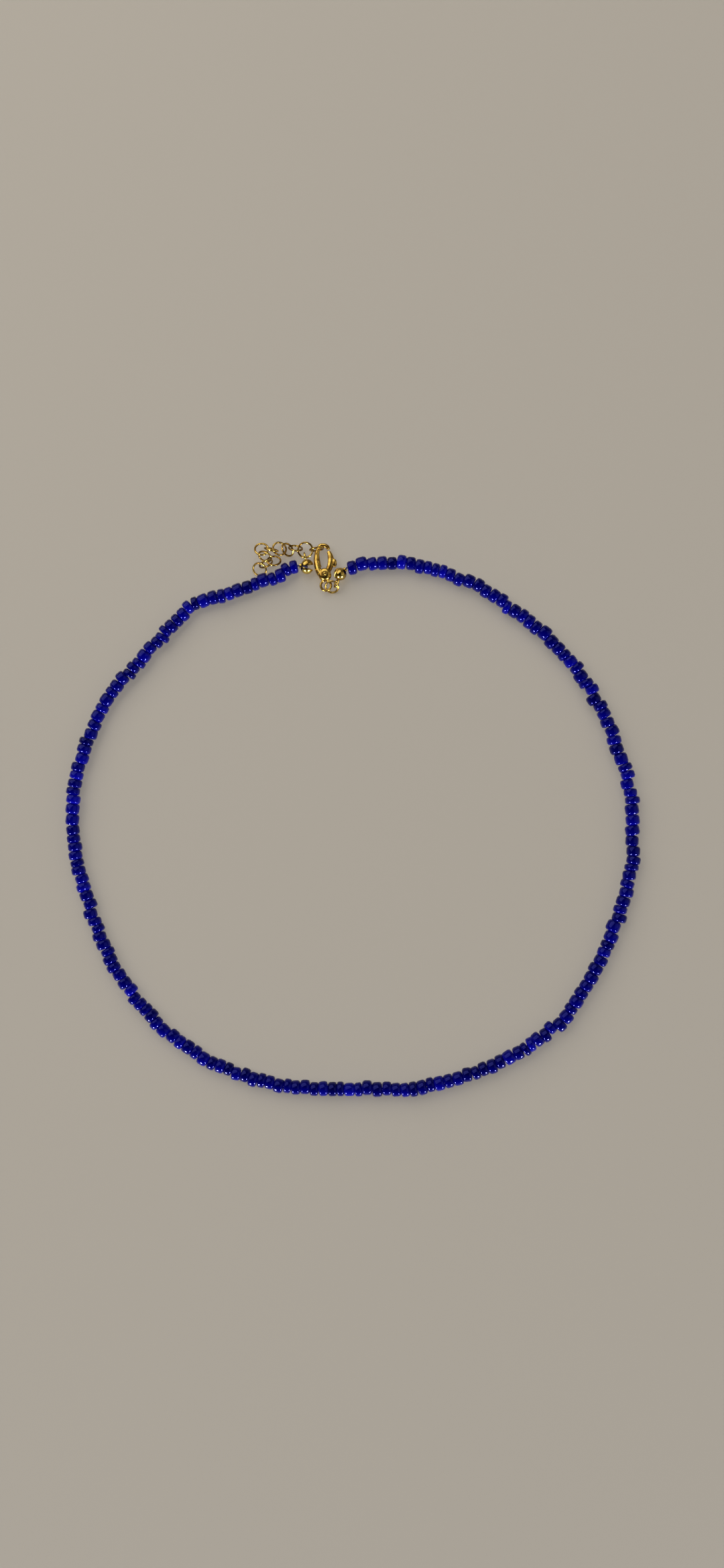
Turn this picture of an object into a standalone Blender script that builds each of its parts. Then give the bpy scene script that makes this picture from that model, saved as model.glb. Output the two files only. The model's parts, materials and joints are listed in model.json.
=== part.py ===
"""A strand of small round glass beads, closed by a lobster clasp, with a short extender chain.

The strand lies in a nearly round loop on the surface. The clasp lies at the loop's far side, with the knot covers
at the two ends of the strand, and the extender's links lie folded beside it. All lengths are in metres, +Z is up.
"""
import math

import bmesh
import bpy
from mathutils import Matrix, Vector

MM = 0.001

# The strand of beads, as one round string of the beads' outer diameter.
BEAD_DIAMETER = 3.0 * MM
STRING_STEP = 6.0 * MM
STRING_BEVEL_RESOLUTION = 2
# The route of the strand's middle, in millimetres, read round the loop from its right end to its left end.
STRING_ROUTE = [
    (-1.3, 54.1), (1.2, 54.6), (3.6, 54.9), (7.9, 55.2), (12.6, 54.6), (16.6, 53.9), (20.7, 52.5), (25.3, 50.6),
    (29.6, 47.9),
    (34.6, 44.4), (39.6, 40.4), (44.2, 35.9), (47.5, 31.7), (50.8, 26.8), (53.6, 21.6), (55.9, 15.9), (57.8, 9.9),
    (58.8, 3.9), (59.3, -2.5), (58.9, -8.5), (57.6, -15.3), (55.2, -22.6), (51.7, -30.5), (47.2, -38.3),
    (41.6, -44.4), (34.9, -49.0), (28.1, -52.5), (20.5, -55.2), (12.7, -56.7), (3.9, -57.1), (-5.0, -57.2),
    (-13.2, -56.8), (-20.9, -55.1), (-29.2, -52.2), (-37.4, -47.3), (-44.7, -40.3), (-50.1, -33.5), (-54.3, -24.8),
    (-57.7, -15.3), (-60.2, -6.6), (-60.8, 1.7), (-59.6, 10.4), (-56.9, 18.7), (-52.9, 26.4), (-47.1, 33.1),
    (-41.4, 39.7), (-36.3, 44.8), (-33.0, 47.0), (-27.1, 48.7), (-20.5, 50.7), (-15.7, 52.7), (-13.6, 54.1),
    (-12.1, 54.6),
]

# The clearance that loose metal pieces keep.
PLAY = 0.12 * MM

# The clamshell knot covers: a thin ball with a seam, a short neck towards the beads and a hook loop.
COVER_DIAMETER = 2.7 * MM
COVER_WALL = 0.3 * MM
COVER_SEAM = 0.22 * MM
# The seam's length, and how high its cutter stands over the cover's middle, in shares of the cover's diameter.
SEAM_SHARE = 0.84
SEAM_LIFT = 0.6
NECK_DIAMETER = 1.0 * MM
NECK_LENGTH = 0.3 * MM
NECK_GAP = 0.45 * MM
HOOK_LOOP_DIAMETER = 2.05 * MM
HOOK_LOOP_WIRE = 0.4 * MM
LEFT_COVER_HEADING = -6.0
LEFT_LOOP_HEADING = 102.0
LEFT_LOOP_LEAN = 90.0
LEFT_SEAM_ROLL = 20.0
RIGHT_COVER_HEADING = 222.0
RIGHT_LOOP_HEADING = 250.0
RIGHT_LOOP_LEAN = 60.0
RIGHT_SEAM_ROLL = 35.0

# The jump ring between the right knot cover and the clasp.
JUMP_RING_DIAMETER = 3.2 * MM
JUMP_RING_WIRE = 0.45 * MM
JUMP_RING_REACH = 1.24 * MM
JUMP_RING_HEADING = 214.0
JUMP_RING_LEAN = 41.0
JUMP_RING_LEAN_HEADING = 263.0

# The extender chain's round links. The end ring is a little larger than the links.
LINK_DIAMETER = 3.3 * MM
LINK_WIRE = 0.42 * MM
END_RING_DIAMETER = 3.6 * MM
RING_SIDES = 14
WIRE_SIDES = 6
# The middle of the link that the clasp's hook holds, in shares of the clasp's reach from its end ring.
HELD_ON_CLASP = (-0.140, 0.840)
# Where each ring lies: its middle in shares of the link diameter from the middle of the left knot cover's loop, how
# far its plane leans from lying flat, where its upper face leans to, and its lift off the surface in wires.
CHAIN = [
    # name, across, up, lean, lean heading, lift
    ("chain_end_ring", 0.01, 0.42, 10, 250, 2.6),
    ("chain_link_held", 0.753, 0.460, 88, 98, 0.0),
    ("chain_link_01", -0.63, 0.53, 55, 80, 1.0),
    ("chain_link_02", -1.17, 0.47, 50, 230, 0.0),
    ("chain_link_03", -1.71, 0.56, 20, 25, 1.0),
    ("chain_link_04", -2.23, 0.47, 70, 75, 0.2),
    ("chain_link_05", -2.86, 0.47, 20, 75, 3.1),
    ("chain_link_06", -2.65, 0.01, 60, 250, 0.5),
    ("chain_link_07", -2.05, -0.29, 35, 85, 1.7),
    ("chain_link_08", -2.56, -0.50, 80, 295, 1.0),
    ("chain_link_09", -3.02, -0.80, 35, 255, 0.0),
]

# The lobster clasp, in its own plane: x across, y from its end ring to its crown.
CLASP_TURN = 5.0
CLASP_LENGTH = 10.9 * MM
CLASP_THICKNESS = 2.0 * MM
CLASP_RING_DIAMETER = 2.8 * MM
CLASP_RING_WIRE = 0.5 * MM
CLASP_RING_ACROSS = -1.32 * MM
CLASP_RING_UP = 0.33 * MM
BOSS_DIAMETER = 2.9 * MM
CLASP_NECK_ROOT = 0.8 * MM
HOOK_DIAMETER = 1.6 * MM
LEVER_THICKNESS = 0.9 * MM
LEVER_ROOT_DIAMETER = 1.9 * MM
LEVER_WIDTH = 1.4 * MM
TAB_LENGTH = 1.9 * MM
TAB_WIDTH = 1.1 * MM
RIVET_DIAMETER = 0.76 * MM
RIVET_PROUD = 0.1 * MM
CURVE_STEPS = 4
# The hook's middle line, from the boss round the crown to the tip, and the lever's, from its root to its tip, both in
# shares of the length from the end ring's middle to the crown, with the width there in shares of the widest.
HOOK_LINE = [
    # across, up, width
    (-0.090, 0.280, 1.00), (-0.130, 0.380, 1.00), (-0.155, 0.500, 0.95), (-0.155, 0.660, 0.80), (-0.125, 0.810, 0.60),
    (-0.050, 0.920, 0.58), (0.050, 0.920, 0.56), (0.112, 0.875, 0.53), (0.130, 0.815, 0.50),
]
LEVER_LINE = [
    # across, up, width
    (0.040, 0.290, 0.80), (0.115, 0.400, 0.95), (0.160, 0.540, 1.00), (0.155, 0.670, 0.85), (0.124, 0.778, 0.55),
]
BOSS_SHARE = 0.25
TAB_SHARE = (0.235, 0.50)


def material(name, colour, metallic, roughness):
    """A plain surface with the piece's colour."""
    made = bpy.data.materials.new(name)
    made.use_nodes = True
    shader = made.node_tree.nodes["Principled BSDF"]
    shader.inputs["Base Color"].default_value = (*colour, 1.0)
    shader.inputs["Metallic"].default_value = metallic
    shader.inputs["Roughness"].default_value = roughness
    return made


def smooth_points(points, steps):
    """Points along a smooth curve that passes through each given point."""
    ends = [2 * points[0] - points[1]] + points + [2 * points[-1] - points[-2]]
    made = []
    for before, start, end, after in zip(ends, ends[1:], ends[2:], ends[3:]):
        for step in range(steps):
            t = step / steps
            made.append(0.5 * (
                2 * start + (end - before) * t
                + (2 * before - 5 * start + 4 * end - after) * t ** 2
                + (3 * start - before - 3 * end + after) * t ** 3
            ))
    made.append(points[-1].copy())
    return made


def even_points(points, spacing):
    """Points at even distances along a line, near the spacing asked for."""
    lengths = [(b - a).length for a, b in zip(points, points[1:])]
    count = max(2, round(sum(lengths) / spacing))
    made = [points[0].copy()]
    index = 0
    done = 0.0
    for step in range(1, count):
        wanted = sum(lengths) * step / count
        while done + lengths[index] < wanted:
            done += lengths[index]
            index += 1
        share = (wanted - done) / lengths[index]
        made.append(points[index].lerp(points[index + 1], share))
    made.append(points[-1].copy())
    return made


def heading(degrees):
    """The level direction that points so many degrees round from +X."""
    return Vector((math.cos(math.radians(degrees)), math.sin(math.radians(degrees)), 0.0))


def lean_turn(lean, lean_heading):
    """The turn that leans a flat ring so that its upper face looks towards a heading."""
    round_up = Matrix.Rotation(math.radians(lean_heading), 3, "Z")
    return round_up @ Matrix.Rotation(math.radians(lean), 3, "Y")


def object_from(name, mesh_maker, surface, root):
    """A new object whose mesh the given function fills."""
    mesh = bpy.data.meshes.new(name)
    shape = bmesh.new()
    mesh_maker(shape)
    bmesh.ops.recalc_face_normals(shape, faces=shape.faces)
    shape.to_mesh(mesh)
    shape.free()
    mesh.shade_smooth()
    mesh.set_sharp_from_angle(angle=math.radians(50))
    mesh.materials.append(surface)
    made = bpy.data.objects.new(name, mesh)
    bpy.context.collection.objects.link(made)
    made.parent = root
    return made


def combine(target, other, operation):
    """Joins another shape to the target, or cuts it away, and puts the other out of sight."""
    step = target.modifiers.new(operation.title(), "BOOLEAN")
    step.operation = operation
    step.solver = "EXACT"
    step.object = other
    other.hide_render = True
    other.display_type = "WIRE"


def add_ring(shape, diameter, wire, matrix):
    """A round wire ring of an outer diameter, lying flat about the matrix's middle."""
    middle = (diameter - wire) / 2
    rows = []
    for side in range(RING_SIDES):
        turn = Matrix.Rotation(2 * math.pi * side / RING_SIDES, 4, "Z")
        row = []
        for corner in range(WIRE_SIDES):
            angle = 2 * math.pi * (corner + 0.5) / WIRE_SIDES
            local = Vector((middle + wire / 2 * math.cos(angle), 0.0, wire / 2 * math.sin(angle)))
            row.append(shape.verts.new(matrix @ turn @ local))
        rows.append(row)
    for index, row in enumerate(rows):
        following = rows[(index + 1) % len(rows)]
        for corner in range(WIRE_SIDES):
            beside = (corner + 1) % WIRE_SIDES
            shape.faces.new((row[corner], following[corner], following[beside], row[beside]))


def add_rod(shape, points, diameters, sides, thicknesses=None):
    """A closed rod along level points, with its own diameter at each point. It is round, or as thick as given."""
    thicknesses = thicknesses or diameters
    rows = []
    for index, point in enumerate(points):
        ahead = points[min(index + 1, len(points) - 1)] - points[max(index - 1, 0)]
        across = ahead.normalized().cross(Vector((0.0, 0.0, 1.0)))
        row = []
        for corner in range(sides):
            angle = 2 * math.pi * (corner + 0.5) / sides
            aside = across * diameters[index] / 2 * math.cos(angle)
            local = aside + Vector((0.0, 0.0, thicknesses[index] / 2 * math.sin(angle)))
            row.append(shape.verts.new(point + local))
        rows.append(row)
    for row, following in zip(rows, rows[1:]):
        for corner in range(sides):
            beside = (corner + 1) % sides
            shape.faces.new((row[corner], following[corner], following[beside], row[beside]))
    shape.faces.new(rows[0])
    shape.faces.new(reversed(rows[-1]))


def string_route():
    """The strand's middle line at its height over the surface."""
    points = [Vector((x * MM, y * MM, BEAD_DIAMETER / 2)) for x, y in STRING_ROUTE]
    return even_points(smooth_points(points, CURVE_STEPS), STRING_STEP)


def make_string(points, surface, root):
    """The strand as a string: eight flat sides, one of them down."""
    sides = 4 + 2 * STRING_BEVEL_RESOLUTION
    curve = bpy.data.curves.new("bead_string", "CURVE")
    curve.dimensions = "3D"
    curve.bevel_depth = BEAD_DIAMETER / 2 / math.cos(math.pi / sides)
    curve.bevel_resolution = STRING_BEVEL_RESOLUTION
    curve.use_fill_caps = True
    curve.twist_mode = "Z_UP"
    spline = curve.splines.new("POLY")
    spline.points.add(len(points) - 1)
    for target, point in zip(spline.points, points):
        target.co = (*point, 1.0)
        target.tilt = math.pi / sides
    curve.materials.append(surface)
    made = bpy.data.objects.new("bead_string", curve)
    bpy.context.collection.objects.link(made)
    made.parent = root
    return made


def make_cover(name, string_end, cover_heading, loop_heading, loop_lean, seam_roll, surface, root):
    """A clamshell knot cover at a string's end. Gives back the middle of its hook loop."""
    outward = heading(cover_heading)
    radius = COVER_DIAMETER / 2
    centre = string_end + outward * (NECK_GAP + NECK_LENGTH + radius)
    loop_away = radius + HOOK_LOOP_DIAMETER / 2 - COVER_WALL / 2
    loop_centre = centre + heading(loop_heading) * loop_away

    def ball(shape):
        bmesh.ops.create_uvsphere(
            shape, u_segments=16, v_segments=8, radius=radius, matrix=Matrix.Translation(centre))

    def hollow(shape):
        bmesh.ops.create_uvsphere(
            shape, u_segments=12, v_segments=6, radius=radius - COVER_WALL, matrix=Matrix.Translation(centre))

    def seam(shape):
        turn = Matrix.Rotation(math.radians(cover_heading), 4, "Z") @ Matrix.Rotation(math.radians(seam_roll), 4, "X")
        size = Matrix.Diagonal((COVER_DIAMETER * SEAM_SHARE, COVER_SEAM, COVER_DIAMETER, 1.0))
        lift = Matrix.Translation((0.0, 0.0, COVER_DIAMETER * SEAM_LIFT))
        bmesh.ops.create_cube(shape, size=1.0, matrix=Matrix.Translation(centre) @ turn @ lift @ size)

    def neck(shape):
        start = string_end + outward * NECK_GAP
        end = centre - outward * (radius - COVER_WALL)
        add_rod(shape, [start, end], [NECK_DIAMETER, NECK_DIAMETER], 8)

    def loop(shape):
        turn = lean_turn(loop_lean, loop_heading - 90.0).to_4x4()
        add_ring(shape, HOOK_LOOP_DIAMETER, HOOK_LOOP_WIRE, Matrix.Translation(loop_centre) @ turn)

    made = object_from(name, ball, surface, root)
    combine(made, object_from(name + "_hollow", hollow, surface, root), "DIFFERENCE")
    combine(made, object_from(name + "_seam", seam, surface, root), "DIFFERENCE")
    combine(made, object_from(name + "_neck", neck, surface, root), "UNION")
    combine(made, object_from(name + "_loop", loop, surface, root), "UNION")
    return loop_centre


def make_jump_ring(loop_centre, surface, root):
    """The jump ring that hangs in the right knot cover's loop."""
    centre = loop_centre + heading(JUMP_RING_HEADING) * JUMP_RING_REACH
    tilt = math.sin(math.radians(JUMP_RING_LEAN))
    centre.z = JUMP_RING_WIRE / 2 + (JUMP_RING_DIAMETER - JUMP_RING_WIRE) / 2 * tilt

    def ring(shape):
        turn = lean_turn(JUMP_RING_LEAN, JUMP_RING_LEAN_HEADING).to_4x4()
        add_ring(shape, JUMP_RING_DIAMETER, JUMP_RING_WIRE, Matrix.Translation(centre) @ turn)

    object_from("jump_ring", ring, surface, root)
    return centre


def make_chain(loop_centre, held_centre, surface, root):
    """The extender's end ring and its links, each lying where the table says between the cover and the clasp."""
    held_away = next(Vector((row[1], row[2], 0.0)) for row in CHAIN if row[0] == "chain_link_held")
    start = (loop_centre + held_centre - held_away * LINK_DIAMETER) / 2
    for name, across, up, lean, lean_heading, lift in CHAIN:
        diameter = END_RING_DIAMETER if name == "chain_end_ring" else LINK_DIAMETER
        height = LINK_WIRE / 2 + (diameter - LINK_WIRE) / 2 * math.sin(math.radians(lean)) + lift * LINK_WIRE
        centre = start + Vector((across, up, 0.0)) * LINK_DIAMETER
        if name == "chain_link_held":
            centre = held_centre.copy()
        centre.z = height

        def ring(shape):
            turn = lean_turn(lean, lean_heading).to_4x4()
            add_ring(shape, diameter, LINK_WIRE, Matrix.Translation(centre) @ turn)

        object_from(name, ring, surface, root)


def make_clasp(jump_centre, surface, root):
    """The lobster clasp: its cast body, its lever and the rivet. Gives back the middle of the link that it holds."""
    half = CLASP_THICKNESS / 2
    ring_centre = Vector((jump_centre.x + CLASP_RING_ACROSS, jump_centre.y + CLASP_RING_UP, half + RIVET_PROUD))
    reach = CLASP_LENGTH - CLASP_RING_DIAMETER / 2
    place = Matrix.Translation(ring_centre) @ Matrix.Rotation(math.radians(CLASP_TURN), 4, "Z")
    boss = Vector((0.0, BOSS_SHARE * reach, 0.0))
    seat = bpy.data.objects.new("clasp_seat", None)
    bpy.context.collection.objects.link(seat)
    seat.parent = root
    seat.matrix_world = place
    pivot = bpy.data.objects.new("lever_pivot", None)
    bpy.context.collection.objects.link(pivot)
    pivot.parent = seat
    pivot.location = boss

    def line_and_widths(shares, widest):
        rows = smooth_points([Vector((x * reach, y * reach, width * widest)) for x, y, width in shares], CURVE_STEPS)
        return [Vector((row.x, row.y, 0.0)) for row in rows], [row.z for row in rows]

    def end_ring(shape):
        add_ring(shape, CLASP_RING_DIAMETER, CLASP_RING_WIRE, Matrix.Identity(4))

    def boss_block(shape):
        bmesh.ops.create_cone(
            shape, cap_ends=True, segments=20, radius1=BOSS_DIAMETER / 2, radius2=BOSS_DIAMETER / 2,
            depth=CLASP_THICKNESS, matrix=Matrix.Translation(boss))

    def neck(shape):
        start = Vector((0.0, CLASP_RING_DIAMETER / 2 - CLASP_RING_WIRE / 2, 0.0))
        end = Vector((0.0, boss.y - BOSS_DIAMETER / 2 + COVER_WALL / 2, 0.0))
        add_rod(shape, [start, end], [CLASP_RING_WIRE, CLASP_NECK_ROOT], 8)

    def hook(shape):
        points, widths = line_and_widths(HOOK_LINE, HOOK_DIAMETER)
        add_rod(shape, points, widths, 8)

    def lever_slot(shape):
        room = LEVER_ROOT_DIAMETER / 2 + PLAY
        size = Vector((BOSS_DIAMETER, BOSS_DIAMETER, LEVER_THICKNESS + 2 * PLAY))
        middle = boss + Vector((size.x / 2 - room, size.y / 2 - room, 0.0))
        bmesh.ops.create_cube(
            shape, size=1.0, matrix=Matrix.Translation(middle) @ Matrix.Diagonal((*size, 1.0)))

    def rivet_hole(shape):
        radius = RIVET_DIAMETER / 2 + PLAY
        bmesh.ops.create_cone(
            shape, cap_ends=True, segments=16, radius1=radius, radius2=radius,
            depth=2 * CLASP_THICKNESS, matrix=Matrix.Translation(boss))

    body = object_from("clasp_body", boss_block, surface, seat)
    combine(body, object_from("clasp_body_hook", hook, surface, seat), "UNION")
    combine(body, object_from("clasp_body_slot", lever_slot, surface, seat), "DIFFERENCE")
    combine(body, object_from("clasp_body_neck", neck, surface, seat), "UNION")
    combine(body, object_from("clasp_body_end_ring", end_ring, surface, seat), "UNION")
    combine(body, object_from("clasp_body_hole", rivet_hole, surface, seat), "DIFFERENCE")

    def lever_root(shape):
        bmesh.ops.create_cone(
            shape, cap_ends=True, segments=16, radius1=LEVER_ROOT_DIAMETER / 2, radius2=LEVER_ROOT_DIAMETER / 2,
            depth=LEVER_THICKNESS)

    def lever_arm(shape):
        points, widths = line_and_widths(LEVER_LINE, LEVER_WIDTH)
        add_rod(shape, [point - boss for point in points], widths, 8, [LEVER_THICKNESS] * len(points))

    def lever_tab(shape):
        middle = Vector((TAB_SHARE[0] * reach, TAB_SHARE[1] * reach, 0.0)) - boss
        size = Matrix.Diagonal((TAB_WIDTH, TAB_LENGTH, LEVER_THICKNESS, 1.0))
        bmesh.ops.create_uvsphere(
            shape, u_segments=12, v_segments=6, radius=0.5, matrix=Matrix.Translation(middle) @ size)

    def lever_hole(shape):
        radius = RIVET_DIAMETER / 2 + PLAY
        bmesh.ops.create_cone(
            shape, cap_ends=True, segments=16, radius1=radius, radius2=radius, depth=2 * CLASP_THICKNESS)

    lever = object_from("clasp_lever", lever_root, surface, pivot)
    combine(lever, object_from("clasp_lever_arm", lever_arm, surface, pivot), "UNION")
    combine(lever, object_from("clasp_lever_tab", lever_tab, surface, pivot), "UNION")
    combine(lever, object_from("clasp_lever_hole", lever_hole, surface, pivot), "DIFFERENCE")

    def rivet(shape):
        bmesh.ops.create_cone(
            shape, cap_ends=True, segments=12, radius1=RIVET_DIAMETER / 2, radius2=RIVET_DIAMETER / 2,
            depth=CLASP_THICKNESS + 2 * RIVET_PROUD)

    object_from("clasp_rivet", rivet, surface, pivot)
    return place @ Vector((HELD_ON_CLASP[0] * reach, HELD_ON_CLASP[1] * reach, 0.0))


def settle(root):
    """Moves the whole piece so that the middle of its footprint is the origin, on the surface."""
    bpy.context.view_layer.update()
    graph = bpy.context.evaluated_depsgraph_get()
    corners = []
    for item in bpy.context.scene.objects:
        if item.type in {"MESH", "CURVE"} and not item.hide_render:
            seen = item.evaluated_get(graph)
            mesh = seen.to_mesh()
            corners.extend(seen.matrix_world @ vertex.co for vertex in mesh.vertices)
            seen.to_mesh_clear()
    low = Vector([min(corner[axis] for corner in corners) for axis in range(3)])
    high = Vector([max(corner[axis] for corner in corners) for axis in range(3)])
    root.location = Vector((-(low.x + high.x) / 2, -(low.y + high.y) / 2, -low.z))


def build():
    """Makes every piece in its place."""
    for item in list(bpy.data.objects):
        bpy.data.objects.remove(item, do_unlink=True)
    glass = material("blue_glass", (0.004, 0.004, 0.22), 0.0, 0.08)
    gold = material("gilt_metal", (0.62, 0.40, 0.12), 1.0, 0.25)
    root = bpy.data.objects.new("bracelet", None)
    bpy.context.collection.objects.link(root)

    points = string_route()
    make_string(points, glass, root)
    right_loop = make_cover(
        "knot_cover_right", points[0], RIGHT_COVER_HEADING, RIGHT_LOOP_HEADING, RIGHT_LOOP_LEAN, RIGHT_SEAM_ROLL,
        gold, root)
    left_loop = make_cover(
        "knot_cover_left", points[-1], LEFT_COVER_HEADING, LEFT_LOOP_HEADING, LEFT_LOOP_LEAN, LEFT_SEAM_ROLL,
        gold, root)
    jump_centre = make_jump_ring(right_loop, gold, root)
    held_centre = make_clasp(jump_centre, gold, root)
    make_chain(left_loop, held_centre, gold, root)
    settle(root)


build()
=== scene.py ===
"""A bracelet of small round glass beads, closed by a gilt lobster clasp, laid out in a loop.

The object is put together in the order in which it is made: the beads and their thread, the knot covers, the jump ring
and the extender chain, and the lobster clasp. Lengths are in metres, and +Z is up.
"""
import json
import math
import random

import bpy
import numpy as np
from mathutils import Matrix, Vector


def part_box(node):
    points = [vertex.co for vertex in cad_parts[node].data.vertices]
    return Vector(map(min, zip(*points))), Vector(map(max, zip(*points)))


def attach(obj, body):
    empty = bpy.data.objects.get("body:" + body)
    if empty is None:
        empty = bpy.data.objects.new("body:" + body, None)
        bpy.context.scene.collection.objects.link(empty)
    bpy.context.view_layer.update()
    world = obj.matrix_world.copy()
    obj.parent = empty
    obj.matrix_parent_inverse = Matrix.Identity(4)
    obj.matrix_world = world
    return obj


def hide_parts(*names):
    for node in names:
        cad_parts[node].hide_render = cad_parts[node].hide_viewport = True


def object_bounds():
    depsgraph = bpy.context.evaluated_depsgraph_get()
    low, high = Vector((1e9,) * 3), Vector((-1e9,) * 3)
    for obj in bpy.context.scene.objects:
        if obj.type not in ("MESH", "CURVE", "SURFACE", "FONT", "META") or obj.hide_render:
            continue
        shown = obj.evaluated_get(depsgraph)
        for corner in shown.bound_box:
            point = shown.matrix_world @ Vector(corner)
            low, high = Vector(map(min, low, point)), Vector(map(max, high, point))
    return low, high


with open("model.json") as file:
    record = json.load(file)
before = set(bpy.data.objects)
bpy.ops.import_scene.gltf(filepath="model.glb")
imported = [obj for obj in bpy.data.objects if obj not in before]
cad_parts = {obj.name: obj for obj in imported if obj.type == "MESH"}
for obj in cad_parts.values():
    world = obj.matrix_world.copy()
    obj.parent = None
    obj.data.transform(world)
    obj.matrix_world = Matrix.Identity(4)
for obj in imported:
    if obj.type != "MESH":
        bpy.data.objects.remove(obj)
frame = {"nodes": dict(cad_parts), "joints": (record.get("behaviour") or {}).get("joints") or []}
cad_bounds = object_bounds()


# Seed beads. The real ones are size 8/0 drawn glass beads, opaque cobalt blue, cut from a tube and tumbled in the
# furnace until their rims melt round. No two have the same length, and they sit a little askew on their thread.
MM = 0.001
BEAD_DIAMETER = 3.0 * MM
BEAD_HOLE = 0.95 * MM
BEAD_LENGTH = 1.91 * MM
BEAD_RIM = 0.5 * MM
BEAD_SIDES = 12
BEAD_COUNT = 187
# How far the beads differ: the spread, the least and the most, as shares of a bead's size or as a length.
LENGTH_SPREAD, SHORTEST, LONGEST = 0.13, 0.72, 1.3
WIDTH_SPREAD, NARROWEST, WIDEST = 0.035, 0.9, 1.07
ASKEW_SPREAD, MOST_ASKEW = 0.22 * MM, 0.45 * MM
OUT_OF_ROUND = 0.03
HEADING_SPREAD = math.radians(5.0)
TILT_SPREAD = math.radians(2.5)
MIDDLE_SHADE, SHADE_SPREAD = 0.5, 0.22
# A bead takes up this share of its stretch of thread, and the rest is a hair's gap to the next one.
BEAD_FIT = 0.985
# The strand's middle line, in millimetres, read round the loop from its right end to its left end.
STRING_ROUTE = [
    (-1.3, 54.1), (1.2, 54.6), (3.6, 54.9), (7.9, 55.2), (12.6, 54.6), (16.6, 53.9), (20.7, 52.5), (25.3, 50.6),
    (29.6, 47.9), (34.6, 44.4), (39.6, 40.4), (44.2, 35.9), (47.5, 31.7), (50.8, 26.8), (53.6, 21.6), (55.9, 15.9),
    (57.8, 9.9), (58.8, 3.9), (59.3, -2.5), (58.9, -8.5), (57.6, -15.3), (55.2, -22.6), (51.7, -30.5),
    (47.2, -38.3), (41.6, -44.4), (34.9, -49.0), (28.1, -52.5), (20.5, -55.2), (12.7, -56.7), (3.9, -57.1),
    (-5.0, -57.2), (-13.2, -56.8), (-20.9, -55.1), (-29.2, -52.2), (-37.4, -47.3), (-44.7, -40.3), (-50.1, -33.5),
    (-54.3, -24.8), (-57.7, -15.3), (-60.2, -6.6), (-60.8, 1.7), (-59.6, 10.4), (-56.9, 18.7), (-52.9, 26.4),
    (-47.1, 33.1), (-41.4, 39.7), (-36.3, 44.8), (-33.0, 47.0), (-27.1, 48.7), (-20.5, 50.7), (-15.7, 52.7),
    (-13.6, 54.1), (-12.1, 54.6),
]


def linear(hex_colour):
    """An sRGB hex colour as linear red, green, blue and alpha."""
    shares = [int(hex_colour[place:place + 2], 16) / 255 for place in (0, 2, 4)]
    return [share / 12.92 if share <= 0.04045 else ((share + 0.055) / 1.055) ** 2.4 for share in shares] + [1.0]


def new_material(name):
    """A new node material, and its shader."""
    made = bpy.data.materials.new(name)
    made.use_nodes = True
    return made, made.node_tree.nodes["Principled BSDF"]


def add_node(owner, kind, inputs, **settings):
    """Adds a node with its settings, and sets its inputs or joins them to other nodes' outputs."""
    made = owner.node_tree.nodes.new(kind)
    for name, value in settings.items():
        setattr(made, name, value)
    for name, value in inputs.items():
        if isinstance(value, bpy.types.NodeSocket):
            owner.node_tree.links.new(value, made.inputs[name])
        else:
            made.inputs[name].default_value = value
    return made


def smooth_line(points, steps):
    """Points along a smooth line that passes through each given point."""
    ends = [2 * points[0] - points[1]] + points + [2 * points[-1] - points[-2]]
    made = []
    for before, start, end, after in zip(ends, ends[1:], ends[2:], ends[3:]):
        for step in range(steps):
            t = step / steps
            made.append(0.5 * (
                2 * start + (end - before) * t
                + (2 * before - 5 * start + 4 * end - after) * t ** 2
                + (3 * start - before - 3 * end + after) * t ** 3
            ))
    made.append(points[-1].copy())
    return made


def select_parts(kind, wanted):
    """Selects the active mesh's faces or edges for which the test holds, and nothing else, and goes into edit mode."""
    bpy.ops.object.mode_set(mode="EDIT")
    bpy.ops.mesh.select_mode(type=kind)
    bpy.ops.mesh.select_all(action="DESELECT")
    bpy.ops.object.mode_set(mode="OBJECT")
    mesh = bpy.context.object.data
    for part in mesh.polygons if kind == "FACE" else mesh.edges:
        part.select = wanted(part)
    bpy.ops.object.mode_set(mode="EDIT")


def drill_through(diameter, hole):
    """Drills the active round piece, which lies along X, right through from end to end."""
    select_parts("FACE", lambda face: abs(face.normal.x) > 0.9)
    bpy.ops.mesh.inset(thickness=(diameter - hole) / 2)
    bpy.ops.mesh.bridge_edge_loops()
    bpy.ops.object.mode_set(mode="OBJECT")


def finish_mesh(name, material, angle=40.0):
    """Merges the doubles, turns the faces outward, smooths the shading and names the active mesh."""
    bpy.ops.object.mode_set(mode="EDIT")
    bpy.ops.mesh.select_all(action="SELECT")
    bpy.ops.mesh.remove_doubles(threshold=0.0005 * MM)
    bpy.ops.mesh.normals_make_consistent(inside=False)
    bpy.ops.object.mode_set(mode="OBJECT")
    made = bpy.context.object
    bpy.ops.object.transform_apply(location=True, rotation=True, scale=True)
    bpy.ops.object.shade_smooth_by_angle(angle=math.radians(angle))
    made.name = name
    made.data.name = name
    made.data.materials.clear()
    made.data.materials.append(material)
    return made


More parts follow.
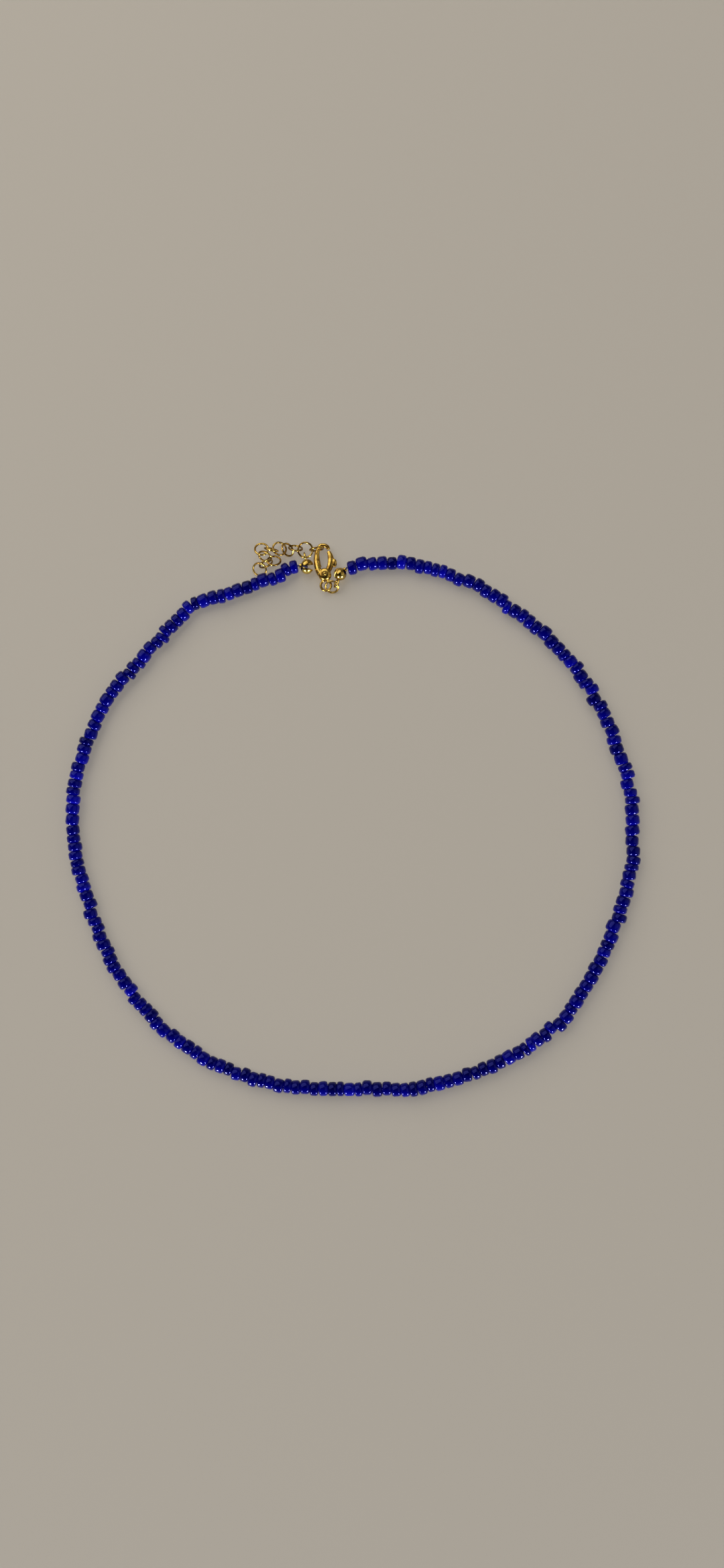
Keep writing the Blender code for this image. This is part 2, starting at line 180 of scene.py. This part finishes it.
# Opaque cobalt glass, drawn and fire-polished: a smooth, wet-looking skin over a deep even blue. Each melt leaves beads
# that are a shade darker or more violet than the next, and the skin has faint waves about a millimetre wide.
glass, shader = new_material("opaque_cobalt_glass")
shader.inputs["Roughness"].default_value = 0.05
shader.inputs["IOR"].default_value = 1.52
shader.inputs["Specular IOR Level"].default_value = 0.5
shader.inputs["Specular Tint"].default_value = linear("6A70F0")
tone = add_node(glass, "ShaderNodeAttribute", {}, attribute_name="melt", attribute_type="GEOMETRY")
ramp = add_node(glass, "ShaderNodeValToRGB", {"Fac": tone.outputs["Fac"]})
ramp.color_ramp.elements[0].color = linear("00003E")
ramp.color_ramp.elements[1].color = linear("040478")
middle = ramp.color_ramp.elements.new(0.55)
middle.color = linear("01015A")
glass.node_tree.links.new(ramp.outputs["Color"], shader.inputs["Base Color"])
place = add_node(glass, "ShaderNodeTexCoord", {})
waves = add_node(
    glass, "ShaderNodeTexNoise", {"Vector": place.outputs["Object"], "Scale": 1 / (1.0 * MM), "Detail": 0.0})
bump = add_node(
    glass, "ShaderNodeBump", {"Height": waves.outputs["Fac"], "Strength": 0.2, "Distance": 0.04 * MM})
glass.node_tree.links.new(bump.outputs["Normal"], shader.inputs["Normal"])

# One bead is turned from a short cylinder: its ends are drilled, and its rims rounded.
bpy.ops.object.select_all(action="DESELECT")
bpy.ops.mesh.primitive_cylinder_add(
    vertices=BEAD_SIDES, radius=BEAD_DIAMETER / 2, depth=BEAD_LENGTH, rotation=(0.0, math.pi / 2, 0.0))
bpy.ops.object.transform_apply(location=True, rotation=True, scale=True)
drill_through(BEAD_DIAMETER, BEAD_HOLE)
bead_corners = bpy.context.object.data.vertices


def is_rim(edge):
    """Whether an edge of the bead lies on one of its two outer rims."""
    start, end = (bead_corners[corner].co for corner in edge.vertices)
    at_edge = min(math.hypot(start.y, start.z), math.hypot(end.y, end.z)) > 0.45 * BEAD_DIAMETER
    return at_edge and abs(start.x - end.x) < 0.1 * BEAD_LENGTH


select_parts("EDGE", is_rim)
bpy.ops.mesh.bevel(offset=BEAD_RIM, segments=2, profile=0.5, affect="EDGES")
bpy.ops.object.mode_set(mode="OBJECT")
bead = finish_mesh("seed_beads", glass, 75.0)

# The strand's line is laid over the string that the frame holds, and the beads are threaded along it one by one.
line = smooth_line([Vector((x * MM, y * MM, 0.0)) for x, y in STRING_ROUTE], 8)
string_low, string_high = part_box("bead_string")
line_low = Vector([min(point[axis] for point in line) for axis in range(3)])
line_high = Vector([max(point[axis] for point in line) for axis in range(3)])
shift = (string_low + string_high - line_low - line_high) / 2
line = [point + shift for point in line]
for point in line:
    point.z = BEAD_DIAMETER / 2
reached = [0.0]
for start, end in zip(line, line[1:]):
    reached.append(reached[-1] + (end - start).length)


def on_line(distance):
    """The place on the strand's line at a distance from its start, and the line's direction there."""
    index = min(max(1, int(np.searchsorted(reached, distance))), len(line) - 1)
    share = (distance - reached[index - 1]) / (reached[index] - reached[index - 1])
    return line[index - 1].lerp(line[index], share), (line[index] - line[index - 1]).normalized()


chance = random.Random(8)


def near(usual, spread, least, most):
    """A random number near the usual one, kept between the least and the most."""
    return min(most, max(least, chance.gauss(usual, spread)))


lengths = [near(1.0, LENGTH_SPREAD, SHORTEST, LONGEST) for _ in range(BEAD_COUNT)]
total = sum(lengths)
lengths = [length * reached[-1] / total for length in lengths]
low_edge, high_edge = Vector(cad_bounds[0]), Vector(cad_bounds[1])
threaded = []
done = 0.0
for length in lengths:
    middle_point, along = on_line(done + length / 2)
    done += length
    width = near(1.0, WIDTH_SPREAD, NARROWEST, WIDEST)
    sideways = Vector((-along.y, along.x, 0.0)) * near(0.0, ASKEW_SPREAD, -MOST_ASKEW, MOST_ASKEW)
    turn = (
        Matrix.Rotation(math.atan2(along.y, along.x) + chance.gauss(0.0, HEADING_SPREAD), 4, "Z")
        @ Matrix.Rotation(chance.gauss(0.0, TILT_SPREAD), 4, "Y")
        @ Matrix.Rotation(chance.uniform(0.0, 2 * math.pi / BEAD_SIDES), 4, "X")
    )
    oval = chance.uniform(1.0 - OUT_OF_ROUND, 1.0 + OUT_OF_ROUND)
    size = Matrix.Diagonal((BEAD_FIT * length / BEAD_LENGTH, width, width * oval, 1.0))
    copy = bead.copy()
    copy.data = bead.data.copy()
    copy.data.transform(turn @ size)
    corners = [vertex.co for vertex in copy.data.vertices]
    low = Vector([min(corner[axis] for corner in corners) for axis in range(3)])
    high = Vector([max(corner[axis] for corner in corners) for axis in range(3)])
    spot = middle_point + sideways
    for axis in range(2):
        spot[axis] = min(max(spot[axis], low_edge[axis] - low[axis]), high_edge[axis] - high[axis])
    spot.z = -low.z
    copy.data.transform(Matrix.Translation(spot))
    melt = copy.data.attributes.new("melt", "FLOAT", "POINT")
    melt.data.foreach_set("value", [near(MIDDLE_SHADE, SHADE_SPREAD, 0.0, 1.0)] * len(corners))
    bpy.context.collection.objects.link(copy)
    threaded.append(copy)
bpy.data.objects.remove(bead)
bpy.ops.object.select_all(action="DESELECT")
for copy in threaded:
    copy.select_set(True)
bpy.context.view_layer.objects.active = threaded[0]
bpy.ops.object.join()
beads = bpy.context.object
beads.name = "seed_beads"
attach(beads, "strand")
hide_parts("bead_string")


# The thread. A single fine polyester cord runs through all the beads, and goes through each knot cover's neck into the
# cover, where it is knotted. It shows only between the end beads and the covers.
THREAD_DIAMETER = 0.4 * MM
THREAD_REACH = 1.1 * MM
KNOT_DIAMETER = 1.1 * MM
LEFT_COVER_HEADING = math.radians(-6.0)
RIGHT_COVER_HEADING = math.radians(222.0)
# A knot's outline, in shares of its diameter.
KNOT_SHAPE = [
    # along, width
    (0.0, 0.36), (0.15, 0.8), (0.4, 1.0), (0.75, 0.95), (1.0, 0.45),
]

# Twisted polyester thread, dyed navy: dull, with the twist of its plies as slanting ridges about half a millimetre
# apart.
thread_material, shader = new_material("twisted_polyester_thread")
shader.inputs["Base Color"].default_value = linear("14163C")
shader.inputs["Roughness"].default_value = 0.7
place = add_node(thread_material, "ShaderNodeTexCoord", {})
plies = add_node(
    thread_material, "ShaderNodeTexWave", {"Vector": place.outputs["Object"], "Scale": 0.3 / (0.35 * MM)},
    bands_direction="DIAGONAL")
bump = add_node(
    thread_material, "ShaderNodeBump", {"Height": plies.outputs["Fac"], "Strength": 0.6, "Distance": 0.05 * MM})
thread_material.node_tree.links.new(bump.outputs["Normal"], shader.inputs["Normal"])


def heading(turned):
    """The level direction that is turned so far round from +X."""
    return Vector((math.cos(turned), math.sin(turned), 0.0))


def drawn_rod(points, radii, sides):
    """A round rod drawn along a line of points, made a mesh. It is left active and selected."""
    bpy.ops.object.select_all(action="DESELECT")
    bpy.ops.curve.primitive_bezier_curve_add()
    made = bpy.context.object
    made.data.splines.clear()
    made.data.bevel_depth = 1.0
    made.data.bevel_resolution = max(0, (sides - 4) // 2)
    made.data.use_fill_caps = True
    made.data.twist_mode = "Z_UP"
    spline = made.data.splines.new("POLY")
    spline.points.add(len(points) - 1)
    for target, point, radius in zip(spline.points, points, radii):
        target.co = (*point, 1.0)
        target.radius = radius
    bpy.ops.object.convert(target="MESH")
    return bpy.context.object


right_end, left_end = line[0], line[-1]
knot_away = [THREAD_REACH + along * KNOT_DIAMETER for along, width in KNOT_SHAPE]
knot_radii = [width * KNOT_DIAMETER / 2 for along, width in KNOT_SHAPE]
thread_points = (
    [right_end + heading(RIGHT_COVER_HEADING) * away for away in reversed(knot_away)] + line
    + [left_end + heading(LEFT_COVER_HEADING) * away for away in knot_away])
drawn_rod(thread_points, knot_radii[::-1] + [THREAD_DIAMETER / 2] * len(line) + knot_radii, 8)
thread = finish_mesh("thread", thread_material)
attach(thread, "strand")


# Knot covers. Each is stamped from thin brass sheet as two cups on a common neck, folded shut over the thread's knot,
# so that a dark seam stays between them. A wire tail on one cup is curled into the loop that holds the ring. They are
# gold plated.
COVER_DIAMETER = 2.7 * MM
COVER_WALL = 0.25 * MM
COVER_SEAM = 0.16 * MM
COVER_LIP = 0.07 * MM
NECK_DIAMETER = 1.0 * MM
NECK_HOLE = 0.5 * MM
NECK_LENGTH = 0.3 * MM
NECK_GAP = 0.45 * MM
HOOK_LOOP_DIAMETER = 2.05 * MM
HOOK_LOOP_WIRE = 0.4 * MM
HOOK_LOOP_SUNK = 0.15 * MM
HOOK_LOOP_CUT = math.radians(2.0)
# The plating turns browner in patches of this width, partly from wear and partly as painted shade: browner where their
# pattern is low, and full where it is high.
GILT_PATCH = 1.6 * MM
GILT_WORN_AND_SHADED, GILT_FULL = 0.42, 0.66


def gilt(name, colour, worn_and_shaded, roughness, grain):
    """Gold plating of one colour, that turns to a browner tone in patches, partly thin plating and partly painted
    shade, over a surface with a grain.
    """
    made, shader = new_material(name)
    shader.inputs["Metallic"].default_value = 1.0
    place = add_node(made, "ShaderNodeTexCoord", {})
    patches = add_node(
        made, "ShaderNodeTexNoise", {"Vector": place.outputs["Object"], "Scale": 1 / GILT_PATCH, "Detail": 3.0})
    # The browner tone of the low patches is partly thin plating and partly painted shade.
    tint = add_node(made, "ShaderNodeValToRGB", {"Fac": patches.outputs["Fac"]})
    tint.color_ramp.elements[0].position = GILT_WORN_AND_SHADED
    tint.color_ramp.elements[0].color = linear(worn_and_shaded)
    tint.color_ramp.elements[1].position = GILT_FULL
    tint.color_ramp.elements[1].color = linear(colour)
    made.node_tree.links.new(tint.outputs["Color"], shader.inputs["Base Color"])
    rubbed = add_node(
        made, "ShaderNodeMapRange",
        {"Value": patches.outputs["Fac"], "From Min": 0.35, "From Max": 0.65, "To Min": roughness * 1.5,
         "To Max": roughness})
    made.node_tree.links.new(rubbed.outputs["Result"], shader.inputs["Roughness"])
    dents = add_node(
        made, "ShaderNodeTexNoise", {"Vector": place.outputs["Object"], "Scale": 1 / grain, "Detail": 2.0})
    bump = add_node(
        made, "ShaderNodeBump", {"Height": dents.outputs["Fac"], "Strength": 0.3, "Distance": 0.03 * MM})
    made.node_tree.links.new(bump.outputs["Normal"], shader.inputs["Normal"])
    return made


# Gold plating on stamped brass: bright and pale, with a browner tone in patches that is partly thin plating and partly
# painted shade. The stamping leaves shallow dents about half a millimetre wide.
stamped_gilt = gilt("gold_plated_stamped_brass", "E2C668", "8C6C2C", 0.15, 0.5 * MM)


def wire_ring(diameter, wire, sides, steps, opening):
    """A ring bent from round wire, lying flat about the origin, with its cut towards +X. It is left active."""
    bpy.ops.object.select_all(action="DESELECT")
    bpy.ops.mesh.primitive_circle_add(
        vertices=sides, radius=wire / 2, fill_type="NGON", location=((diameter - wire) / 2, 0.0, 0.0),
        rotation=(math.pi / 2, 0.0, 0.0))
    bpy.ops.object.transform_apply(location=True, rotation=True, scale=True)
    bpy.ops.object.mode_set(mode="EDIT")
    bpy.ops.mesh.select_all(action="SELECT")
    bpy.ops.transform.rotate(value=-opening / 2, orient_axis="Z", center_override=(0.0, 0.0, 0.0))
    bpy.ops.mesh.spin(
        steps=steps, angle=2 * math.pi - opening, center=(0.0, 0.0, 0.0), axis=(0.0, 0.0, 1.0))
    bpy.ops.object.mode_set(mode="OBJECT")
    return bpy.context.object


def join_pieces(pieces):
    """Joins the pieces into the first one, and leaves it active."""
    bpy.ops.object.select_all(action="DESELECT")
    for piece in pieces:
        piece.select_set(True)
    bpy.context.view_layer.objects.active = pieces[0]
    bpy.ops.object.join()
    return bpy.context.object


def knot_cover(name, string_end, cover_heading, loop_heading, loop_lean, seam_roll, gape):
    """One knot cover: two cups that gape a little at their seam, a neck towards the beads, and a hook loop."""
    outward = heading(cover_heading)
    radius = COVER_DIAMETER / 2
    centre = string_end + outward * (NECK_GAP + NECK_LENGTH + radius)
    parts = []
    for side in (-1.0, 1.0):
        bpy.ops.object.select_all(action="DESELECT")
        bpy.ops.mesh.primitive_uv_sphere_add(
            segments=40, ring_count=20, radius=radius - COVER_WALL, rotation=(0.0, math.pi / 2, 0.0))
        bpy.ops.object.transform_apply(location=True, rotation=True, scale=True)
        bpy.ops.object.mode_set(mode="EDIT")
        bpy.ops.mesh.select_all(action="SELECT")
        bpy.ops.mesh.bisect(
            plane_co=(0.0, side * COVER_SEAM / 2, 0.0), plane_no=(0.0, side, 0.0), clear_inner=True)
        bpy.ops.mesh.select_all(action="SELECT")
        bpy.ops.mesh.normals_make_consistent(inside=False)
        bpy.ops.object.mode_set(mode="OBJECT")
        cup = bpy.context.object
        wall = cup.modifiers.new("wall", "SOLIDIFY")
        wall.thickness = COVER_WALL
        wall.offset = 1.0
        bpy.ops.object.modifier_apply(modifier=wall.name)
        lip = cup.modifiers.new("lip", "BEVEL")
        lip.width = COVER_LIP
        lip.segments = 2
        lip.angle_limit = math.radians(50)
        bpy.ops.object.modifier_apply(modifier=lip.name)
        folded_at = Matrix.Translation((-radius, 0.0, 0.0))
        cup.data.transform(folded_at @ Matrix.Rotation(side * gape / 2, 4, "Z") @ folded_at.inverted())
        parts.append(cup)
    bpy.ops.object.select_all(action="DESELECT")
    bpy.ops.mesh.primitive_cylinder_add(
        vertices=24, radius=NECK_DIAMETER / 2, depth=NECK_LENGTH + COVER_WALL,
        location=(-radius - NECK_LENGTH / 2 + COVER_WALL / 2, 0.0, 0.0), rotation=(0.0, math.pi / 2, 0.0))
    bpy.ops.object.transform_apply(location=True, rotation=True, scale=True)
    drill_through(NECK_DIAMETER, NECK_HOLE)
    parts.append(bpy.context.object)
    cover = join_pieces(parts)
    cover.data.transform(
        Matrix.Translation(centre) @ Matrix.Rotation(cover_heading, 4, "Z") @ Matrix.Rotation(seam_roll, 4, "X"))
    loop = wire_ring(HOOK_LOOP_DIAMETER, HOOK_LOOP_WIRE, 14, 40, HOOK_LOOP_CUT)
    loop_away = radius + HOOK_LOOP_DIAMETER / 2 - HOOK_LOOP_SUNK
    loop.data.transform(
        Matrix.Translation(centre + heading(loop_heading) * loop_away)
        @ Matrix.Rotation(loop_heading - math.pi / 2, 4, "Z") @ Matrix.Rotation(loop_lean, 4, "Y")
        @ Matrix.Rotation(-math.pi / 2, 4, "Z"))
    join_pieces([cover, loop])
    cover = finish_mesh(name, stamped_gilt)
    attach(cover, "strand")
    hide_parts(name.replace("gilt_", ""))


knot_cover(
    "gilt_knot_cover_right", right_end, RIGHT_COVER_HEADING, loop_heading=math.radians(250.0),
    loop_lean=math.radians(60.0), seam_roll=math.radians(35.0), gape=math.radians(4.0))
knot_cover(
    "gilt_knot_cover_left", left_end, LEFT_COVER_HEADING, loop_heading=math.radians(102.0),
    loop_lean=math.radians(90.0), seam_roll=math.radians(15.0), gape=math.radians(22.0))


# The extender chain and the jump ring. The links are round rings bent from soft brass wire, gold plated after bending,
# and each is closed on itself with a cut that just shows. They hold each other, the left knot cover and the clasp.
LINK_DIAMETER = 3.3 * MM
LINK_WIRE = 0.42 * MM
LINK_COUNT = 9
END_RING_DIAMETER = 3.6 * MM
JUMP_RING_DIAMETER = 3.2 * MM
JUMP_RING_WIRE = 0.45 * MM
RING_CUT = math.radians(1.6)

# Gold plating on drawn wire: a pale mirror along the bend, with draw marks and rub about a fifth of a millimetre apart.
# Its browner patches are partly thin plating and partly painted shade.
wire_gilt = gilt("gold_plated_brass_wire", "D4B25C", "785A26", 0.15, 0.2 * MM)


def bent_ring(node, diameter, wire):
    """A ring in the place of one of the frame's rings, with its cut somewhere round it."""
    points = np.array([vertex.co for vertex in frame["nodes"][node].data.vertices])
    centre = points.mean(axis=0)
    normal = Vector(np.linalg.svd(points - centre)[2][2])
    level = Vector((-normal.y, normal.x, 0.0)).normalized()
    turn = Matrix((level, normal.cross(level), normal)).transposed().to_4x4()
    wire_ring(diameter, wire, 12, 44, RING_CUT)
    bpy.context.object.data.transform(
        Matrix.Translation(centre) @ turn @ Matrix.Rotation(chance.uniform(0.0, 2 * math.pi), 4, "Z"))
    ring = finish_mesh("gilt_" + node, wire_gilt)
    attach(ring, "strand")
    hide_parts(node)


bent_ring("jump_ring", JUMP_RING_DIAMETER, JUMP_RING_WIRE)
bent_ring("chain_end_ring", END_RING_DIAMETER, LINK_WIRE)
bent_ring("chain_link_held", LINK_DIAMETER, LINK_WIRE)
for number in range(1, LINK_COUNT + 1):
    bent_ring(f"chain_link_{number:02d}", LINK_DIAMETER, LINK_WIRE)


# The lobster clasp's body. It is cast brass with softly rounded edges, tumbled and gold plated: an end ring, a thick
# boss with a slot for the lever, and a hook whose point the lever's tip comes close to. It lies flat, and the rivet
# crosses its boss.
CLASP_TURN = math.radians(5.0)
CLASP_LENGTH = 10.9 * MM
CLASP_THICKNESS = 2.0 * MM
CLASP_RING_DIAMETER = 2.8 * MM
CLASP_RING_WIRE = 0.5 * MM
# The end ring's section before the casting is softened: its width as a share of that wire, and its height as a share
# of its width.
CLASP_RING_SWELL = 1.1
CLASP_RING_HEIGHT = 1.25
CLASP_NECK_RADII = [0.3 * MM, 0.6 * MM]
BOSS_DIAMETER = 2.9 * MM
BOSS_RIM = 0.8 * MM
BOSS_SHARE = 0.25
SLOT_CORNER = 0.6 * MM
HOOK_DIAMETER = 1.6 * MM
LEVER_THICKNESS = 0.9 * MM
LEVER_ROOT_DIAMETER = 1.9 * MM
RIVET_DIAMETER = 0.76 * MM
PLAY = 0.12 * MM
PIN_PLAY = 0.03 * MM
# The grain of the castings, which sets how far their joints melt together.
BODY_GRAIN = 0.055 * MM
SLOT_GRAIN = 0.05 * MM
LEVER_GRAIN = 0.045 * MM
# The hook's middle line, from the boss round the crown to the tip, in shares of the reach to the crown, and its width.
HOOK_LINE = [
    # across, up, width
    (-0.030, 0.200, 0.85), (-0.090, 0.280, 1.00), (-0.130, 0.380, 1.00), (-0.155, 0.500, 0.95), (-0.155, 0.660, 0.80),
    (-0.125, 0.810, 0.60), (-0.050, 0.920, 0.58), (0.050, 0.920, 0.56), (0.112, 0.875, 0.53), (0.130, 0.815, 0.50),
]

# Gold plating on cast brass: a warm satin mirror, browner in patches that are partly thin plating and partly painted
# shade, with the cast skin's soft waves about a third of a millimetre wide.
cast_gilt = gilt("gold_plated_cast_brass", "DAB85C", "86642A", 0.18, 0.33 * MM)

reach = CLASP_LENGTH - CLASP_RING_DIAMETER / 2
hinge = Vector(frame["joints"][0]["pos_m"])
clasp_seat = (
    Matrix.Translation(hinge) @ Matrix.Rotation(CLASP_TURN, 4, "Z")
    @ Matrix.Translation((0.0, -BOSS_SHARE * reach, 0.0)))
boss = Vector((0.0, BOSS_SHARE * reach, 0.0))


def cast_skin(grain):
    """Melts the active mesh's parts into one casting with soft joints."""
    made = bpy.context.object
    melt_step = made.modifiers.new("casting", "REMESH")
    melt_step.mode = "VOXEL"
    melt_step.voxel_size = grain
    bpy.ops.object.modifier_apply(modifier=melt_step.name)
    soften = made.modifiers.new("soften", "SMOOTH")
    soften.factor = 0.5
    soften.iterations = 6
    bpy.ops.object.modifier_apply(modifier=soften.name)


def cut_away(target, cutter):
    """Cuts the cutter's shape out of the target."""
    step = target.modifiers.new("cut", "BOOLEAN")
    step.operation = "DIFFERENCE"
    step.solver = "EXACT"
    step.object = cutter
    bpy.context.view_layer.objects.active = target
    bpy.ops.object.modifier_apply(modifier=step.name)
    bpy.data.objects.remove(cutter)


def round_block(radius, depth, middle_point, rim):
    """A short round block, with rounded rims if the rim isn't 0."""
    bpy.ops.object.select_all(action="DESELECT")
    bpy.ops.mesh.primitive_cylinder_add(vertices=48, radius=radius, depth=depth, location=middle_point)
    bpy.ops.object.transform_apply(location=True, rotation=True, scale=True)
    made = bpy.context.object
    if rim:
        edge = made.modifiers.new("rim", "BEVEL")
        edge.width = rim
        edge.segments = 6
        bpy.ops.object.modifier_apply(modifier=edge.name)
    return made


def drill_pin_hole(target):
    """Drills the rivet's hole right through the target, with a little play."""
    cut_away(target, round_block(RIVET_DIAMETER / 2 + PIN_PLAY, 2 * CLASP_THICKNESS, boss, 0.0))


def tapered_rod(rows, widest):
    """A rod drawn along a smooth line through rows of across, up and width."""
    made = smooth_line([Vector((across * reach, up * reach, width * widest)) for across, up, width in rows], 8)
    return drawn_rod([Vector((point.x, point.y, 0.0)) for point in made], [point.z / 2 for point in made], 32)


hook = tapered_rod(HOOK_LINE, HOOK_DIAMETER)
ring_part = wire_ring(CLASP_RING_DIAMETER, CLASP_RING_WIRE * CLASP_RING_SWELL, 16, 48, 0.0)
ring_part.data.transform(Matrix.Diagonal((1.0, 1.0, CLASP_RING_HEIGHT, 1.0)))
neck_line = [Vector((0.0, CLASP_RING_DIAMETER / 2 - CLASP_RING_WIRE / 2, 0.0)), boss]
neck_part = drawn_rod(neck_line, CLASP_NECK_RADII, 16)
boss_part = round_block(BOSS_DIAMETER / 2, CLASP_THICKNESS, boss, BOSS_RIM)
join_pieces([boss_part, hook, ring_part, neck_part])
cast_skin(BODY_GRAIN)
clasp = bpy.context.object

# The slot for the lever is open towards the crown and towards the lever's side, and its corners are rounded.
room = LEVER_ROOT_DIAMETER / 2 + PLAY
slot_from_boss = BOSS_DIAMETER / 2 - room
bpy.ops.object.select_all(action="DESELECT")
bpy.ops.mesh.primitive_cube_add(size=1.0)
slot_cutter = bpy.context.object
slot_cutter.data.transform(
    Matrix.Translation(boss + Vector((slot_from_boss, slot_from_boss, 0.0)))
    @ Matrix.Diagonal((BOSS_DIAMETER, BOSS_DIAMETER, LEVER_THICKNESS + 2 * PLAY, 1.0)))
slot_corners = slot_cutter.data.vertices


def is_upright(edge):
    """Whether an edge of the slot's cutter stands upright."""
    start, end = (slot_corners[corner].co for corner in edge.vertices)
    return abs(start.z - end.z) > LEVER_THICKNESS


select_parts("EDGE", is_upright)
bpy.ops.mesh.bevel(offset=SLOT_CORNER, segments=8, profile=0.5, affect="EDGES")
bpy.ops.object.mode_set(mode="OBJECT")
cut_away(clasp, slot_cutter)
cast_skin(SLOT_GRAIN)
drill_pin_hole(clasp)
clasp.data.transform(clasp_seat)
clasp.select_set(True)
clasp = finish_mesh("gilt_clasp_body", cast_gilt, 50.0)
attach(clasp, "strand")
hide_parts("clasp_body")


# The clasp's lever. It turns on the rivet in the boss's slot, a hidden spring would hold it shut, and a thumb tab
# stands out from its side. It is cast brass, gold plated like the body.
LEVER_WIDTH = 1.4 * MM
LEVER_ROOT_RIM = 0.1 * MM
TAB_LENGTH = 1.9 * MM
TAB_WIDTH = 1.1 * MM
TAB_SHARE = (0.235, 0.50)
# The lever's middle line from the boss to the tip, as the hook's.
LEVER_LINE = [
    # across, up, width
    (0.040, 0.290, 0.80), (0.115, 0.400, 0.95), (0.160, 0.540, 1.00), (0.155, 0.670, 0.85), (0.124, 0.778, 0.55),
]

arm = tapered_rod(LEVER_LINE, LEVER_WIDTH)
arm.data.transform(Matrix.Diagonal((1.0, 1.0, LEVER_THICKNESS / LEVER_WIDTH, 1.0)))
bpy.ops.object.select_all(action="DESELECT")
bpy.ops.mesh.primitive_uv_sphere_add(segments=24, ring_count=16, radius=0.5)
tab = bpy.context.object
tab.data.transform(
    Matrix.Translation((TAB_SHARE[0] * reach, TAB_SHARE[1] * reach, 0.0))
    @ Matrix.Diagonal((TAB_WIDTH, TAB_LENGTH, LEVER_THICKNESS, 1.0)))
root_part = round_block(LEVER_ROOT_DIAMETER / 2, LEVER_THICKNESS, boss, LEVER_ROOT_RIM)
join_pieces([root_part, arm, tab])
cast_skin(LEVER_GRAIN)
lever = bpy.context.object
drill_pin_hole(lever)
lever.data.transform(clasp_seat)
lever.select_set(True)
lever = finish_mesh("gilt_clasp_lever", cast_gilt, 50.0)
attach(lever, "lever")
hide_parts("clasp_lever")


# The clasp's rivet. A brass pin goes through the boss and the lever, and its two ends are peened over into low domes.
RIVET_PROUD = 0.1 * MM
RIVET_DOME = 0.14 * MM

pin = round_block(RIVET_DIAMETER / 2, CLASP_THICKNESS + 2 * RIVET_PROUD, boss, RIVET_DOME)
pin.data.transform(clasp_seat)
rivet = finish_mesh("gilt_clasp_rivet", wire_gilt)
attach(rivet, "strand")
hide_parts("clasp_rivet")


# The camera stands over the loop and leans a little, as the photograph was taken. Its turn is given by the directions
# of its right side and its back.
CAMERA_PLACE = Vector((15.89 * MM, -7.36 * MM, 243.3 * MM))
CAMERA_RIGHT = Vector((0.99854, 0.00309, -0.05397))
CAMERA_BACK = Vector((0.05405, -0.05715, 0.99690))

camera_data = bpy.data.cameras.new("camera")
camera_data.lens = 26.07
camera_data.sensor_width = 36.0
camera_data.clip_start = 0.01
camera = bpy.data.objects.new("camera", camera_data)
bpy.context.collection.objects.link(camera)
camera_turn = Matrix((CAMERA_RIGHT, CAMERA_BACK.cross(CAMERA_RIGHT), CAMERA_BACK)).transposed()
camera.matrix_world = Matrix.Translation(CAMERA_PLACE) @ camera_turn.to_4x4()
bpy.context.scene.camera = camera
bpy.context.scene.view_settings.view_transform = "Standard"


# The floor is a plain pale board with a matt face. It is part of the stage and not of the object.
FLOOR_SIDE = 6.0

# Pale matt board: a warm grey without gloss, so that no window glares on it.
floor_material, shader = new_material("pale_matt_board")
shader.inputs["Base Color"].default_value = linear("A29C93")
shader.inputs["Roughness"].default_value = 0.75
shader.inputs["Specular IOR Level"].default_value = 0.1
bpy.ops.object.select_all(action="DESELECT")
bpy.ops.mesh.primitive_plane_add(size=FLOOR_SIDE)
floor = bpy.context.object
floor.name = "floor"
floor.data.materials.append(floor_material)


# Soft studio light: two low windows at the near side, which give the glints and throw no shadow, two large soft panels,
# and a dim sky that is brightest low down.
WINDOWS_ACROSS = {"left_window": -1.45, "right_window": 1.55}

world = bpy.data.worlds.new("studio")
bpy.context.scene.world = world
world.use_nodes = True
sky = world.node_tree.nodes["Background"]
toward = add_node(world, "ShaderNodeTexCoord", {})
upward = add_node(world, "ShaderNodeSeparateXYZ", {"Vector": toward.outputs["Generated"]})
band = add_node(world, "ShaderNodeValToRGB", {"Fac": upward.outputs["Z"]})
band.color_ramp.elements[0].position = 0.0
band.color_ramp.elements[0].color = linear("D8D6D0")
band.color_ramp.elements[1].position = 0.8
band.color_ramp.elements[1].color = linear("121418")
shade = band.color_ramp.elements.new(0.4)
shade.color = linear("A09C94")
world.node_tree.links.new(band.outputs["Color"], sky.inputs["Color"])
sky.inputs["Strength"].default_value = 0.4


def add_window(name, place_at, width, height, watts, colour):
    """A soft rectangular light that faces the middle of the floor."""
    data = bpy.data.lights.new(name, "AREA")
    data.shape = "RECTANGLE"
    data.size = width
    data.size_y = height
    data.energy = watts
    data.color = linear(colour)[:3]
    made = bpy.data.objects.new(name, data)
    bpy.context.collection.objects.link(made)
    made.location = place_at
    made.rotation_euler = (-Vector(place_at)).to_track_quat("-Z", "Y").to_euler()
    return made


for name, across in WINDOWS_ACROSS.items():
    window = add_window(name, (across, -2.5, 0.68), width=0.5, height=0.5, watts=105.0, colour="FFFFFF")
    window.data.use_shadow = False
add_window("far_panel", (-0.35, 0.5, 0.55), width=1.2, height=0.8, watts=6.2, colour="FFFBF4")
add_window("side_panel", (0.95, 0.1, 0.9), width=1.3, height=1.3, watts=3.0, colour="FFFBF4")
